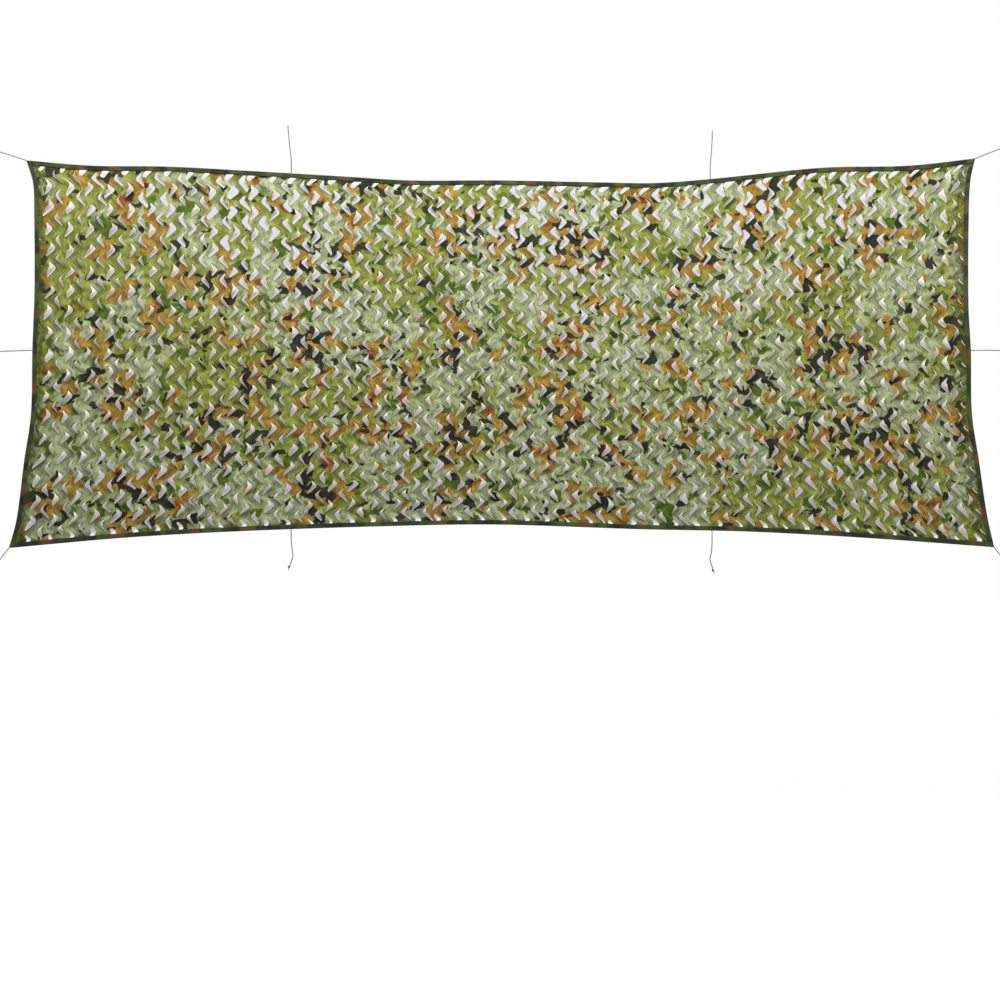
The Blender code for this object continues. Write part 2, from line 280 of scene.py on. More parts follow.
cloth = {
    "length": 4.0,
    "height": 1.5,
    "thickness": 0.0008,
    "rimInset": 0.004,
    "tapeDepth": 0.020,
    "swellStarts": 0.004,
    "swellRamp": 0.11,
    # the strung net's four edges, as x and z from end to end
    "topEdge": (
        (-1.993, 0.084), (-1.722, 0.062), (-1.407, 0.058), (-1.058, 0.040), (-0.651, 0.016),
        (-0.386, 0.000), (0.000, 0.000), (0.449, -0.009), (0.647, -0.011), (0.882, 0.006),
        (1.348, 0.053), (1.714, 0.062), (1.991, 0.092),
    ),
    "bottomEdge": (
        (-2.066, -1.543), (-1.567, -1.499), (-1.058, -1.471), (-0.386, -1.449), (0.000, -1.445),
        (0.580, -1.464), (1.058, -1.475), (1.567, -1.503), (2.071, -1.540),
    ),
    "leftEdge": (
        (-1.993, 0.084), (-1.965, -0.010), (-1.960, -0.145), (-1.959, -0.464), (-1.968, -0.714),
        (-1.974, -0.981), (-2.003, -1.182), (-2.034, -1.422), (-2.066, -1.543),
    ),
    "rightEdge": (
        (1.991, 0.092), (1.971, 0.000), (1.964, -0.149), (1.963, -0.520), (1.973, -0.712),
        (1.978, -0.981), (2.008, -1.182), (2.040, -1.400), (2.071, -1.540),
    ),
    # soft swells: share along, share down, reach along, reach down, height towards the viewer
    "swells": (
        (0.14, 0.62, 0.30, 0.42, 0.012),
        (0.28, 0.30, 0.34, 0.36, -0.012),
        (0.42, 0.66, 0.32, 0.34, 0.014),
        (0.56, 0.30, 0.36, 0.38, -0.010),
        (0.70, 0.64, 0.34, 0.36, 0.013),
        (0.86, 0.36, 0.30, 0.44, -0.011),
    ),
    # pulled folds at both ends: share along and down at the start and at the end, width, height
    "folds": (
        (0.004, 0.50, 0.045, 0.57, 0.022, 0.011),
        (0.004, 0.48, 0.050, 0.41, 0.024, -0.010),
        (0.006, 0.02, 0.060, 0.20, 0.028, 0.010),
        (0.006, 0.98, 0.060, 0.80, 0.030, 0.010),
    ),
    "foldFade": 0.6,
    "deepest": (0.0290, 0.0174),  # towards the viewer and away; past that the cloth is pressed flat
    "pressed": 0.25,
}


def throughPoints(points, share):
    # a smooth curve through points: each stretch is a cubic whose slope at a point is that of the
    # line between its neighbours, and the share runs evenly over the points' own distances
    spots = np.array(points)
    reach = np.concatenate(([0.0], np.cumsum(np.linalg.norm(np.diff(spots, axis=0), axis=1))))
    order = np.arange(len(spots))
    before = np.maximum(order - 1, 0)
    after = np.minimum(order + 1, len(spots) - 1)
    slopes = (spots[after] - spots[before]) / (reach[after] - reach[before])[:, None]
    target = np.clip(share, 0.0, 1.0) * reach[-1]
    k = np.clip(np.searchsorted(reach, target) - 1, 0, len(spots) - 2)
    span = (reach[k + 1] - reach[k])[..., None]
    t = (target - reach[k])[..., None] / span
    return (
        spots[k] * (2 * t**3 - 3 * t**2 + 1)
        + slopes[k] * span * (t**3 - 2 * t**2 + t)
        + spots[k + 1] * (3 * t**2 - 2 * t**3)
        + slopes[k + 1] * span * (t**3 - t**2)
    )


def spreadOut(along, down):
    # x and z of flat cloth points: the four edge curves blended across the sheet
    u = (along / cloth["length"])[..., None]
    v = (down / cloth["height"])[..., None]
    top, bottom = cloth["topEdge"], cloth["bottomEdge"]
    corners = (
        np.array(top[0]) * (1 - u) * (1 - v)
        + np.array(top[-1]) * u * (1 - v)
        + np.array(bottom[0]) * (1 - u) * v
        + np.array(bottom[-1]) * u * v
    )
    return (
        throughPoints(top, u[..., 0]) * (1 - v)
        + throughPoints(bottom, u[..., 0]) * v
        + throughPoints(cloth["leftEdge"], v[..., 0]) * (1 - u)
        + throughPoints(cloth["rightEdge"], v[..., 0]) * u
        - corners
    )


def smoothRamp(value):
    value = np.clip(value, 0.0, 1.0)
    return value * value * (3 - 2 * value)


def edgeDistance(along, down):
    across = np.minimum(along, cloth["length"] - along)
    return np.minimum(across, np.minimum(down, cloth["height"] - down))


def roundBumps(bumps, along, down):
    # a sum of round bumps, each a bell curve of the distances along and down over its reaches
    total = np.zeros_like(along)
    for shareAlong, shareDown, reachAlong, reachDown, height in bumps:
        across = (along - shareAlong * cloth["length"]) / reachAlong
        below = (down - shareDown * cloth["height"]) / reachDown
        total += height * np.exp(-across * across - below * below)
    return total


def pulledFolds(folds, fade, along, down):
    # A sum of folds along straight lines, and of the same folds mirrored at the other end: each is
    # a bell curve of the distance from its line, and fades by a share from its start to its end.
    size = np.array((cloth["length"], cloth["height"]))
    here = np.stack((along, down), axis=-1)
    total = np.zeros_like(along)
    for left in folds:
        for fold in (left, (1 - left[0], left[1], 1 - left[2], *left[3:])):
            start, end = np.array(fold[0:2]) * size, np.array(fold[2:4]) * size
            line = end - start
            share = np.clip(((here - start) @ line) / (line @ line), 0.0, 1.0)
            away = np.linalg.norm(here - start - share[..., None] * line, axis=-1)
            total += fold[5] * (1 - fade * share) * np.exp(-((away / fold[4]) ** 2))
    return total


def bulgeOut(along, down):
    # how far the cloth stands towards the viewer: swells plus folds, faded out beside the tape
    total = roundBumps(cloth["swells"], along, down)
    total += pulledFolds(cloth["folds"], cloth["foldFade"], along, down)
    inside = edgeDistance(along, down) - cloth["tapeDepth"] - cloth["swellStarts"]
    return total * smoothRamp(inside / cloth["swellRamp"])


def hangUp(along, down, lift):
    # flat cloth points as x, y and z: past a depth, only a share of what is piled up is added
    flat = spreadOut(along, down)
    towards = bulgeOut(along, down) + lift
    front, behind = cloth["deepest"]
    held = np.clip(towards, -behind, front)
    towards = held + cloth["pressed"] * (towards - held)
    return np.stack((flat[..., 0], -towards, flat[..., 1]), axis=-1)


# meshes from arrays


def setFlatPlaces(mesh, uvs):
    # the UV map of a surface: where each point lies on the flat cloth, tape or cord, in metres
    corner = np.empty(len(mesh.loops), dtype=np.int32)
    mesh.loops.foreach_get("vertex_index", corner)
    layer = mesh.uv_layers.new(name="flat")
    layer.data.foreach_set("uv", uvs.reshape(-1, 2)[corner].astype(np.float32).ravel())


def newObject(name, mesh, materials):
    mesh.polygons.foreach_set("use_smooth", np.full(len(mesh.polygons), True))
    for material in materials:
        mesh.materials.append(material)
    surface = bpy.data.objects.new(name, mesh)
    bpy.context.scene.collection.objects.link(surface)
    return surface


def newSurface(name, places, faces, uvs, material):
    mesh = bpy.data.meshes.new(name)
    mesh.from_pydata(places.reshape(-1, 3), [], faces)
    setFlatPlaces(mesh, uvs)
    return newObject(name, mesh, [material])


def newPiece(name, places, faces, uvs, material):
    piece = newSurface(name, places, faces, uvs, material)
    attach(piece, "root")
    return piece


def gridFaces(rows, columns, closed=False):
    # the quads of a grid of rows by columns points; closed joins the last column to the first
    row, column = np.meshgrid(np.arange(rows - 1), np.arange(columns - (not closed)), indexing="ij")
    nextColumn = (column + 1) % columns
    corners = (
        row * columns + column,
        row * columns + nextColumn,
        (row + 1) * columns + nextColumn,
        (row + 1) * columns + column,
    )
    return np.stack(corners, axis=-1).reshape(-1, 4)


def markRims(mesh):
    # an edge with one face is a cut edge, and is kept crisp
    edgeOfLoop = np.empty(len(mesh.loops), dtype=np.int32)
    mesh.loops.foreach_get("edge_index", edgeOfLoop)
    rim = np.bincount(edgeOfLoop, minlength=len(mesh.edges)) == 1
    mesh.edges.foreach_set("use_edge_sharp", rim)


def addThickness(piece, thickness, backSlot=0, rimSlot=0):
    solidify = piece.modifiers.new("thickness", "SOLIDIFY")
    solidify.thickness = thickness
    solidify.offset = 0.0
    solidify.use_quality_normals = True
    solidify.material_offset = backSlot
    solidify.material_offset_rim = rimSlot


# the glowing paper behind the net, which shows painted shade

paper = {
    # painted shade: lilac, and darker towards the bottom as the light falls off
    "topColour": rgb(232, 229, 239),
    "bottomColour": rgb(176, 173, 189),
    "topHeight": -0.010,  # the heights where it has those two colours
    "bottomHeight": -1.431,
    "behind": 0.027,  # how far behind the net it hangs
    # how far inside the net's outline it ends, and over what width it fades, along and down
    "inset": (0.028, 0.018),
    "softness": (0.030, 0.022),
    "across": 81,
    "below": 31,
}


def makePaper():
    # A soft lilac paper close behind the net, which the open cuts show: a grid on the net's own
    # outline. Its glow is painted shade behind the net, darker towards the bottom. It lights and
    # shades nothing, and it doesn't show from behind.
    (endInset, rimInset), (endSoft, rimSoft) = paper["inset"], paper["softness"]
    along = np.linspace(endInset, cloth["length"] - endInset, paper["across"])
    down = np.linspace(rimInset, cloth["height"] - rimInset, paper["below"])
    along, down = np.meshgrid(along, down, indexing="ij")
    flat = spreadOut(along, down)
    places = np.stack((flat[..., 0], np.full_like(along, paper["behind"]), flat[..., 1]), axis=-1)
    material, nodes = newMaterial("lilacShadePaper")
    up = splitPlace(nodes, nodes.add("ShaderNodeTexCoord", give=3))[2]
    height = paper["topHeight"] - paper["bottomHeight"]
    share = ((up - paper["bottomHeight"]) / height).clamped()
    colour = nodes.mix(share, paper["bottomColour"], paper["topColour"])
    right, below = splitPlace(nodes, flatPlace(nodes))[:2]
    cover = right.least(cloth["length"] - right).above(endInset + endSoft / 2, endSoft)
    cover = cover * below.least(cloth["height"] - below).above(rimInset + rimSoft / 2, rimSoft)
    cover = cover * (1 - nodes.add("ShaderNodeNewGeometry", give=6))
    # the glow is that painted shade; only the camera sees it
    glow = nodes.add("ShaderNodeEmission", {}, {"Color": colour, "Strength": 1.0})
    clear = nodes.add("ShaderNodeBsdfTransparent")
    both = nodes.add("ShaderNodeMixShader", {}, {0: cover, 1: clear, 2: glow})
    nodes.add("ShaderNodeOutputMaterial", {}, {"Surface": both})
    material.cycles.emission_sampling = "NONE"
    faces = gridFaces(*along.shape).tolist()
    uvs = np.stack((along, down), axis=-1)
    sheet = newSurface("studioShadePaper", places, faces, uvs, material)
    sheet.visible_diffuse = sheet.visible_glossy = sheet.visible_transmission = False
    sheet.visible_shadow = False


# the ten tie cords

ties = {
    "diameter": 0.004,
    "sides": 20,
    "ringStep": 0.001,
    "braidRelief": 0.055,  # how far the strands stand up, as a share of the radius
    "braidRepeat": 0.0064,
    "braidStrands": 5,
    "intoTape": 0.008,
    "tapeGap": 0.0012,
    "knotGap": 0.0003,
    "knotLength": 0.011,
    "knotUnit": 0.00172,  # the knot is worked out in this unit
    "knotStrand": 0.0030,
    "tail": 0.007,
    "eyeLength": 0.038,
    "eyeWidth": 0.022,
    "eyeMouth": 0.045,
    "eyePart": 0.0015,  # how far its two legs part to front and back, and over what length
    "eyePartLength": 0.007,
    "eyeLegs": 0.0045,  # how far its two legs go on back into the knot
    "darkStrand": rgb(58, 58, 50),
    "paleStrand": rgb(132, 130, 116),
    "greenFleck": rgb(70, 78, 52),
    "grime": rgb(86, 78, 60),
    # what ends it, how it lies, along and down where it leaves the edge, and its route on as x, z
    "routes": {
        "top_left_corner": ("eye", "taut", (0.0, 0.0), ((-2.050, 0.1025), (-2.110, 0.1215))),
        "top_right_corner": ("eye", "taut", (4.0, 0.0), ((2.050, 0.1155), (2.110, 0.1390))),
        "bottom_left_corner": ("eye", "taut", (0.0, 1.5), ((-2.090, -1.5735), (-2.114, -1.6040))),
        "bottom_right_corner": ("eye", "taut", (4.0, 1.5), ((2.092, -1.5665), (2.113, -1.5930))),
        "left_side": ("eye", "taut", (0.0, 0.733), ((-2.040, -0.7155), (-2.112, -0.7185))),
        "right_side": ("eye", "taut", (4.0, 0.738), ((2.042, -0.7130), (2.111, -0.7145))),
        "top_left": (
            "bare", "taut", (1.116, 0.0),
            ((-0.881, 0.080), (-0.889, 0.160), (-0.895, 0.229)),
        ),
        "top_right": (
            "bare", "taut", (2.881, 0.0),
            ((0.879, 0.060), (0.885, 0.140), (0.888, 0.208)),
        ),
        "bottom_left": (
            "knot", "hanging", (1.146, 1.5),
            ((-0.8805, -1.514), (-0.877, -1.552), (-0.8745, -1.580), (-0.887, -1.618)),
        ),
        "bottom_right": (
            "knot", "hanging", (2.854, 1.5),
            ((0.8865, -1.516), (0.884, -1.560), (0.878, -1.590), (0.890, -1.632)),
        ),
    },
}


def lengthsAlong(centres):
    steps = np.linalg.norm(np.diff(centres, axis=0), axis=1)
    return np.concatenate(([0.0], np.cumsum(steps)))


def evenly(centres, step):
    # the same line with its points an even step apart
    reach = lengthsAlong(centres)
    stops = np.linspace(0.0, reach[-1], max(4, round(reach[-1] / step)) + 1)
    return np.stack([np.interp(stops, reach, centres[:, k]) for k in range(3)], axis=-1)


def roundedEnd(centres, radius):
    # goes on past the last point in a half ball: rings on a quarter turn of sine and cosine, of
    # which the last is closed to a fiftieth
    onward = centres[-1] - centres[-2]
    onward = onward / np.linalg.norm(onward)
    turn = np.linspace(0.0, np.pi / 2, 6)[1:]
    extra = centres[-1] + onward * (radius * np.sin(turn))[:, None]
    scale = np.concatenate((np.ones(len(centres)), np.cos(turn) * 0.98 + 0.02))
    return np.concatenate((centres, extra)), scale


def braidedTube(name, centres, radius, material, scale=1.0):
    # A ring of points about each centre. A braid's strands cross, so the radius is raised by a
    # wave along the cord and lowered by a wave round it: the high spots lie on a diamond lattice.
    sides = ties["sides"]
    way = np.gradient(centres, axis=0)
    way /= np.linalg.norm(way, axis=1)[:, None]
    side = np.cross(way, (0.0, 1.0, 0.0))
    side /= np.linalg.norm(side, axis=1)[:, None]
    up = np.cross(side, way)
    turn = 2 * np.pi * np.arange(sides) / sides
    reach = lengthsAlong(centres)
    wave = np.cos(2 * np.pi * reach / ties["braidRepeat"])[:, None]
    wave = wave - np.cos(ties["braidStrands"] * turn)[None, :]
    swell = radius * (1 + ties["braidRelief"] * 0.5 * wave)
    swell = swell * np.broadcast_to(scale, len(centres))[:, None]
    around = side[:, None, :] * np.cos(turn)[:, None] - up[:, None, :] * np.sin(turn)[:, None]
    places = centres[:, None, :] + around * swell[..., None]
    faces = gridFaces(len(centres), sides, closed=True).tolist()
    last = (len(centres) - 1) * sides
    faces.append(list(range(sides))[::-1])
    faces.append(list(range(last, last + sides)))
    uvs = np.stack(np.broadcast_arrays(reach[:, None], turn[None, :] * radius), axis=-1)
    return newPiece(name, places, faces, uvs, material)


def tieLine(flatStart, onward):
    # the same line that the CAD cord follows, drawn back into the tape, on y = 0
    edge = spreadOut(np.array(flatStart[0]), np.array(flatStart[1]))
    away = np.array(onward[0]) - edge
    away = away / np.linalg.norm(away)
    points = np.array((edge + away * ties["tapeGap"], *onward))
    curve = throughPoints(points, np.linspace(0.0, 1.0, 120))
    curve = np.concatenate(((edge - away * ties["intoTape"])[None], curve))
    line = np.stack((curve[:, 0], np.zeros(len(curve)), curve[:, 1]), axis=-1)
    return evenly(line, ties["ringStep"]), (float(edge[0]), 0.0, float(edge[1]))


def overhandLine(entry, towards, tail):
    # An overhand knot: a ring-shaped knot that goes twice round while it waves three times in and
    # out and from front to back, cut open at its outside, with its two ends led in and out.
    across = np.cross(towards, (0.0, 1.0, 0.0))
    ringRadius, wave, opening = 1.45, 0.95, 0.30
    turn = np.linspace(opening, 2 * np.pi - opening, 90)
    far = ringRadius + wave * np.cos(3 * turn)
    ring = (far * np.cos(2 * turn), far * np.sin(2 * turn), wave * np.sin(3 * turn))
    half = ties["knotLength"] / 2 / ties["knotUnit"]
    lead = np.array(((1.0, -half - 0.4, 0.0), (1.25, -half + 0.6, 0.55), (2.05, -1.1, 0.95)))
    leave = lead[::-1] * (1, -1, -1)
    points = np.concatenate((lead, np.column_stack(ring)[::6], leave))
    if tail:
        points = np.concatenate((points, points[-1:] + ((0.15, tail / ties["knotUnit"], 0.2),)))
    smooth = throughPoints(points, np.linspace(0.0, 1.0, 160))
    local = (smooth - (1.0, -half, 0.0)) * ties["knotUnit"]
    axes = np.array((across, towards, (0.0, -1.0, 0.0)))
    return evenly(entry + local @ axes, ties["ringStep"] * 0.8)


def eyeLine(entry, towards):
    # a drop-shaped loop: forward by one minus a cosine, sideways by a sine that narrows at the
    # mouth, where its two legs also part to front and back
    mouth = ties["eyeMouth"]
    turn = 2 * np.pi * np.linspace(mouth, 1 - mouth, 160)
    side = np.cross(towards, (0.0, 1.0, 0.0))
    forward = ties["eyeLength"] * (1 - np.cos(turn)) / 2
    sideways = ties["eyeWidth"] / 2 * np.sin(turn) * np.sqrt(np.sin(turn / 2))
    depth = ties["eyePart"] * np.cos(turn / 2) * np.exp(-forward / ties["eyePartLength"])
    line = entry + towards * forward[:, None] - side * sideways[:, None]
    line[:, 1] += depth
    legs = line[[0, -1]] - towards * ties["eyeLegs"]
    return evenly(np.concatenate((legs[:1], line, legs[1:])), ties["ringStep"])


def cordMaterial():
    material, nodes = newMaterial("braidedCord")
    place = flatPlace(nodes)
    along, around = splitPlace(nodes, place)[:2]
    # two sets of strands wind the opposite ways round the cord
    lengthwise = along * (4 * math.pi / ties["braidRepeat"])
    roundwise = around * (ties["braidStrands"] / (ties["diameter"] / 2))
    rising = (lengthwise + roundwise).sine()
    falling = (lengthwise - roundwise).sine()
    strand = rising.most(falling)
    fleck = (rising - falling).above(1.1, 0.5)
    fibre = nodes.noise(place, 2600.0, 2.0, 0.6)
    grime = nodes.noise(place, 60.0, 3.0, 0.6)
    colour = nodes.mix(strand.above(0.25, 0.9), ties["darkStrand"], ties["paleStrand"])
    colour = nodes.mix(fleck * 0.75, colour, ties["greenFleck"])
    colour = nodes.mix(0.5 * grime.above(0.6, 0.25), colour, ties["grime"])
    bump = nodes.bump(strand * 0.00022 + fibre * 0.00006, 0.8)
    inputs = {"Base Color": colour, "Roughness": 0.6 + 0.2 * fibre, "Normal": bump}
    finishMaterial(nodes, {**inputs, "Sheen Weight": 0.15})
    return material


def makeTies():
    material = cordMaterial()
    radius = ties["diameter"] / 2

    def tied(kind, node, line, thick, scale=1.0):
        piece = braidedTube(f"{kind}_{name}", line, thick, material, scale)
        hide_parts(f"{node}_{name}")
        return piece

    for name, (ending, lay, flatStart, onward) in ties["routes"].items():
        line, exitPoint = tieLine(flatStart, onward)
        towards = line[-1] - line[-2]
        towards = towards / np.linalg.norm(towards)
        scale = 1.0
        if ending == "bare":
            line, scale = roundedEnd(line, radius)
        cord = tied("cord", "tie", line, radius, scale)
        if ending != "bare":
            entry = line[-1] - towards * ties["knotGap"]
            tail = ties["tail"] if ending == "knot" else 0.0
            strand = ties["knotStrand"] / 2
            knotLine, knotScale = overhandLine(entry, towards, tail), 1.0
            if tail:
                knotLine, knotScale = roundedEnd(knotLine, strand)
            tied("tiedKnot", "knot", knotLine, strand, knotScale)
        if ending == "eye":
            entry = line[-1] + towards * (ties["knotLength"] + ties["knotGap"])
            tied("tiedEye", "eye", eyeLine(entry, towards), radius)
        "bare" if ending == "bare" else "knot"
    print("cords tied:", len(ties["routes"]))


# the binding tape and its stitching

tape = {
    "thickness": 0.0012,
    "step": 0.008,
    "depth": 0.020,
    # half of the folded section, from the leg's edge to the fold: inset from the edge, half gap
    "section": (
        (0.0200, 0.00185),
        (0.0150, 0.00190),
        (0.0100, 0.00195),
        (0.0062, 0.00235),
        (0.0030, 0.00290),
        (0.0009, 0.00225),
        (0.0000, 0.00000),
    ),
    # start and end as along and down, then the way inward; the side tapes' ends are tucked under
    # the long tapes
    "runs": {
        "top": ((0.0, 0.0), (4.0, 0.0), (0.0, 1.0)),
        "bottom": ((0.0, 1.5), (4.0, 1.5), (0.0, -1.0)),
        "left": ((0.0, 0.0190), (0.0, 1.4810), (1.0, 0.0)),
        "right": ((4.0, 0.0190), (4.0, 1.4810), (-1.0, 0.0)),
    },
    "endFold": 0.010,  # the length over which each end is folded shut and sewn flat
    "endThickness": 0.45,  # what is left there of the fold's own thickness
    "stitchPitch": 0.006,
    "stitchLength": 0.0042,
    "stitchInset": 0.0165,
    "stitchMargin": 0.004,  # from the end of a run to its first stitch
    "threadRadius": 0.00036,
    "tackRows": 7,
    "tackLength": 0.008,
    "tackInsets": (0.0045, 0.0140),
    "tackMargin": 0.009,
    "darkGreen": rgb(30, 46, 19),
    "midGreen": rgb(56, 76, 28),
    "brown": rgb(92, 58, 22),
    "black": rgb(22, 24, 18),
    "dust": rgb(112, 108, 84),
    "darkThread": rgb(74, 80, 48),
    "paleThread": rgb(112, 116, 76),
}


def onTape(run, share, inset, lift):
    # a place in the tape as x, y and z: share along the run, inset from the edge, lift towards
    # the viewer
    start, end, inward = (np.array(part) for part in tape["runs"][run])
    flat = start + (end - start) * share[..., None] + inward * inset[..., None]
    spread = spreadOut(flat[..., 0], flat[..., 1])
    depth = tapeSway(run, share * np.linalg.norm(end - start)) - lift
    return np.stack((spread[..., 0], depth, spread[..., 1]), axis=-1)


def tapeFace(run, share, inset, front):
    # a place on the tape's outer face, front 1 towards the viewer and -1 behind
    reach = share * math.dist(*tape["runs"][run][:2])
    half = np.interp(inset, *np.array(tape["section"])[::-1].T) + tape["thickness"] / 2
    return onTape(run, share, inset, front * (half + tapePucker(run, reach, inset)))


def tapeSway(run, reach):
    # the whole tape leans a little to front and back: two slow waves
    start = 2.0 * list(tape["runs"]).index(run)
    return 0.00035 * np.sin(23 * reach + start) + 0.00025 * np.sin(61 * reach + 1.7 * start)


def tapePucker(run, reach, inset):
    # the roll is drawn in where the thread pulls: three waves, strongest at the fold
    start = 1.3 * list(tape["runs"]).index(run)
    wave = 0.5 * np.sin(151 * reach + start) + 0.3 * np.sin(97 * reach + 2 * start)
    wave = wave + 0.4 * np.sin(283 * reach)
    return 0.00028 * wave * np.exp(-((inset / 0.009) ** 2))


def makeTape(run, material):
    # the folded section carried along the run
    start, end, inward = (np.array(part) for part in tape["runs"][run])
    length = np.linalg.norm(end - start)
    half = np.array(tape["section"])
    section = np.concatenate((half, half[-2::-1] * (1, -1)))
    share = np.linspace(0.0, 1.0, round(length / tape["step"]) + 1)[:, None]
    reach = share * length
    # the legs' edges waver, and the ends are folded shut and sewn flat
    waver = 0.0005 * np.sin(71 * reach + 3 * inward[0]) + 0.0004 * np.sin(173 * reach + inward[1])
    inset = section[:, 0] + waver * (section[:, 0] / tape["depth"]) ** 3
    shut = smoothRamp(np.minimum(reach, length - reach) / tape["endFold"])
    pucker = tapePucker(run, reach, inset) * np.sign(section[:, 1])
    closed = tape["endThickness"] + (1 - tape["endThickness"]) * shut
    places = onTape(run, share, inset, (section[:, 1] + pucker) * closed)
    faces = gridFaces(*inset.shape)
    if (end - start)[0] * inward[1] - (end - start)[1] * inward[0] > 0:
        faces = faces[:, ::-1]
    across = lengthsAlong(np.column_stack((section, section[:, 0] * 0)))
    shift = 7.0 * list(tape["runs"]).index(run)
    uvs = np.stack(np.broadcast_arrays(reach + shift, across[None, :]), axis=-1)
    piece = newPiece("foldedTape_" + run, places, faces.tolist(), uvs, material)
    addThickness(piece, tape["thickness"])
    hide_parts("binding_" + run)
    return piece


def tapeMaterial():
    material, nodes = newMaterial("darkBindingTape")
    place = flatPlace(nodes)
    slow = nodes.moved(place, scale=(1.0, 0.45))
    greenSpot = nodes.noise(nodes.moved(slow, (3.0, 1.0)), 9.0)
    blackSpot = nodes.noise(nodes.moved(slow, (9.0, 5.0)), 8.0)
    brownSpot = nodes.noise(nodes.moved(slow, (14.0, 2.0)), 10.0)
    colour = nodes.mix(greenSpot.above(0.52, 0.08), tape["darkGreen"], tape["midGreen"])
    colour = nodes.mix(brownSpot.above(0.57, 0.05), colour, tape["brown"])
    colour = nodes.mix(blackSpot.above(0.54, 0.06), colour, tape["black"])
    dust = nodes.noise(place, 35.0, 3.0, 0.6)
    colour = nodes.mix(0.25 * dust.above(0.6, 0.3), colour, tape["dust"])
    rib, weft = nodes.bands(place, "X", 52.0), nodes.bands(place, "Y", 85.0)
    crease = nodes.noise(nodes.moved(place, scale=(1.0, 0.22)), 150.0)
    bump = nodes.bump(rib * 0.00011 + weft * 0.00005 + crease * 0.0007, 0.7)
    inputs = {"Base Color": colour, "Roughness": 0.62 + 0.2 * dust, "Normal": bump}
    finishMaterial(nodes, {**inputs, "Specular IOR Level": 0.35, "Sheen Weight": 0.12})
    return material


def threadMaterial():
    material, nodes = newMaterial("sewingThread")
    place = flatPlace(nodes)
    tone = nodes.noise(place, 30.0)
    colour = nodes.mix(tone, tape["darkThread"], tape["paleThread"])
    bump = nodes.bump(nodes.bands(place, "DIAGONAL", 420.0) * 0.00012, 0.5)
    inputs = {"Base Color": colour, "Roughness": 0.45 + 0.15 * tone, "Normal": bump}
    finishMaterial(nodes, {**inputs, "Sheen Weight": 0.1})
    return material


def stitchEnds():
    # where every stitch goes in and comes out, and whether it is on the front or the back
    ins, outs, fronts = [], [], []

    def sew(run, firstShare, lastShare, firstInset, lastInset):
        for front in (1.0, -1.0):
            ins.append(tapeFace(run, firstShare, firstInset, front))
            outs.append(tapeFace(run, lastShare, lastInset, front))
            fronts.append(np.full(len(firstShare), front))

    margin = tape["stitchMargin"]
    for run, (start, end, _) in tape["runs"].items():
        length = math.dist(start, end)
        count = round((length - 2 * margin) / tape["stitchPitch"])
        first = margin + tape["stitchPitch"] * np.arange(count)
        inset = tape["stitchInset"] + 0.00035 * np.sin(47 * first) + 0.0002 * np.sin(311 * first)
        sew(run, first / length, (first + tape["stitchLength"]) / length, inset, inset)

    # a short tack of close stitches holds each cord's root
    for _, _, (along, down), _ in ties["routes"].values():
        run = {0.0: "top", cloth["height"]: "bottom"}.get(down) or ("right" if along else "left")
        start, end, _ = tape["runs"][run]
        length = math.dist(start, end)
        middle = along if run in ("top", "bottom") else down - start[1]
        middle = min(max(middle, tape["tackMargin"]), length - tape["tackMargin"])
        inset = np.linspace(*tape["tackInsets"], tape["tackRows"])
        uneven = 0.0006 * np.sin(9.0 * np.arange(tape["tackRows"]) + 5 * middle)
        first = middle - tape["tackLength"] / 2 + uneven
        sew(run, first / length, (first + tape["tackLength"]) / length, inset, inset + 0.0004)
    return np.concatenate(ins), np.concatenate(outs), np.concatenate(fronts)


def makeStitching():
    # Each stitch is a spindle: a point, three rings of four, and a point. The rings stand at 0.15,
    # 0.5 and 0.85 of its length, raised off the tape, and the two points are sunk into it.
    ins, outs, fronts = stitchEnds()
    outward = np.stack((0 * fronts, -fronts, 0 * fronts), axis=-1)
    way = outs - ins
    side = np.cross(way / np.linalg.norm(way, axis=1)[:, None], outward)
    radius = tape["threadRadius"]
    share = np.array((0.0, 0.15, 0.5, 0.85, 1.0))
    raised = np.array((-0.9, 0.45, 0.7, 0.45, -0.9)) * radius
    thick = np.array((0.85, 1.0, 0.85))[:, None, None]
    middle = ins[:, None] + way[:, None] * share[:, None] + outward[:, None] * raised[:, None]
    turn = np.pi / 4 + np.pi / 2 * np.arange(4)
    ring = side[:, None] * np.cos(turn)[:, None] + outward[:, None] * np.sin(turn)[:, None]
    rings = middle[:, 1:4, None, :] + ring[:, None] * thick * radius
    count = len(ins)
    places = np.concatenate((middle[:, :1], rings.reshape(count, 12, 3), middle[:, 4:]), axis=1)
    k = np.arange(4)
    after = (k + 1) % 4
    tip = np.stack((k * 0, 1 + after, 1 + k), axis=-1)
    tail = np.stack((k * 0 + 13, 9 + k, 9 + after), axis=-1)
    bands = [np.stack((r + k, r + after, r + 4 + after), axis=-1) for r in (1, 5)]
    bands += [np.stack((r + k, r + 4 + after, r + 4 + k), axis=-1) for r in (1, 5)]
    shape = np.concatenate((tip, tail, *bands))[:, ::-1]
    faces = (shape[None] + 14 * np.arange(count)[:, None, None]).reshape(-1, 3)
    reach = np.repeat(share, (1, 4, 4, 4, 1))
    across = np.concatenate(([0.0], np.tile(turn, 3), [0.0]))
    u = tape["stitchPitch"] * np.arange(count)[:, None] + tape["stitchLength"] * reach[None]
    uvs = np.stack((u, np.broadcast_to(across * radius, u.shape)), axis=-1)
    piece = newPiece("stitching", places, faces.tolist(), uvs, threadMaterial())
    print("stitches sewn:", count)
    return piece


def makeBinding():
    material = tapeMaterial()
    pieces = [makeTape(run, material) for run in tape["runs"]]
    print("binding folded:", len(pieces), "tapes")
    return pieces + [makeStitching()]


# the leaf-cut sheet

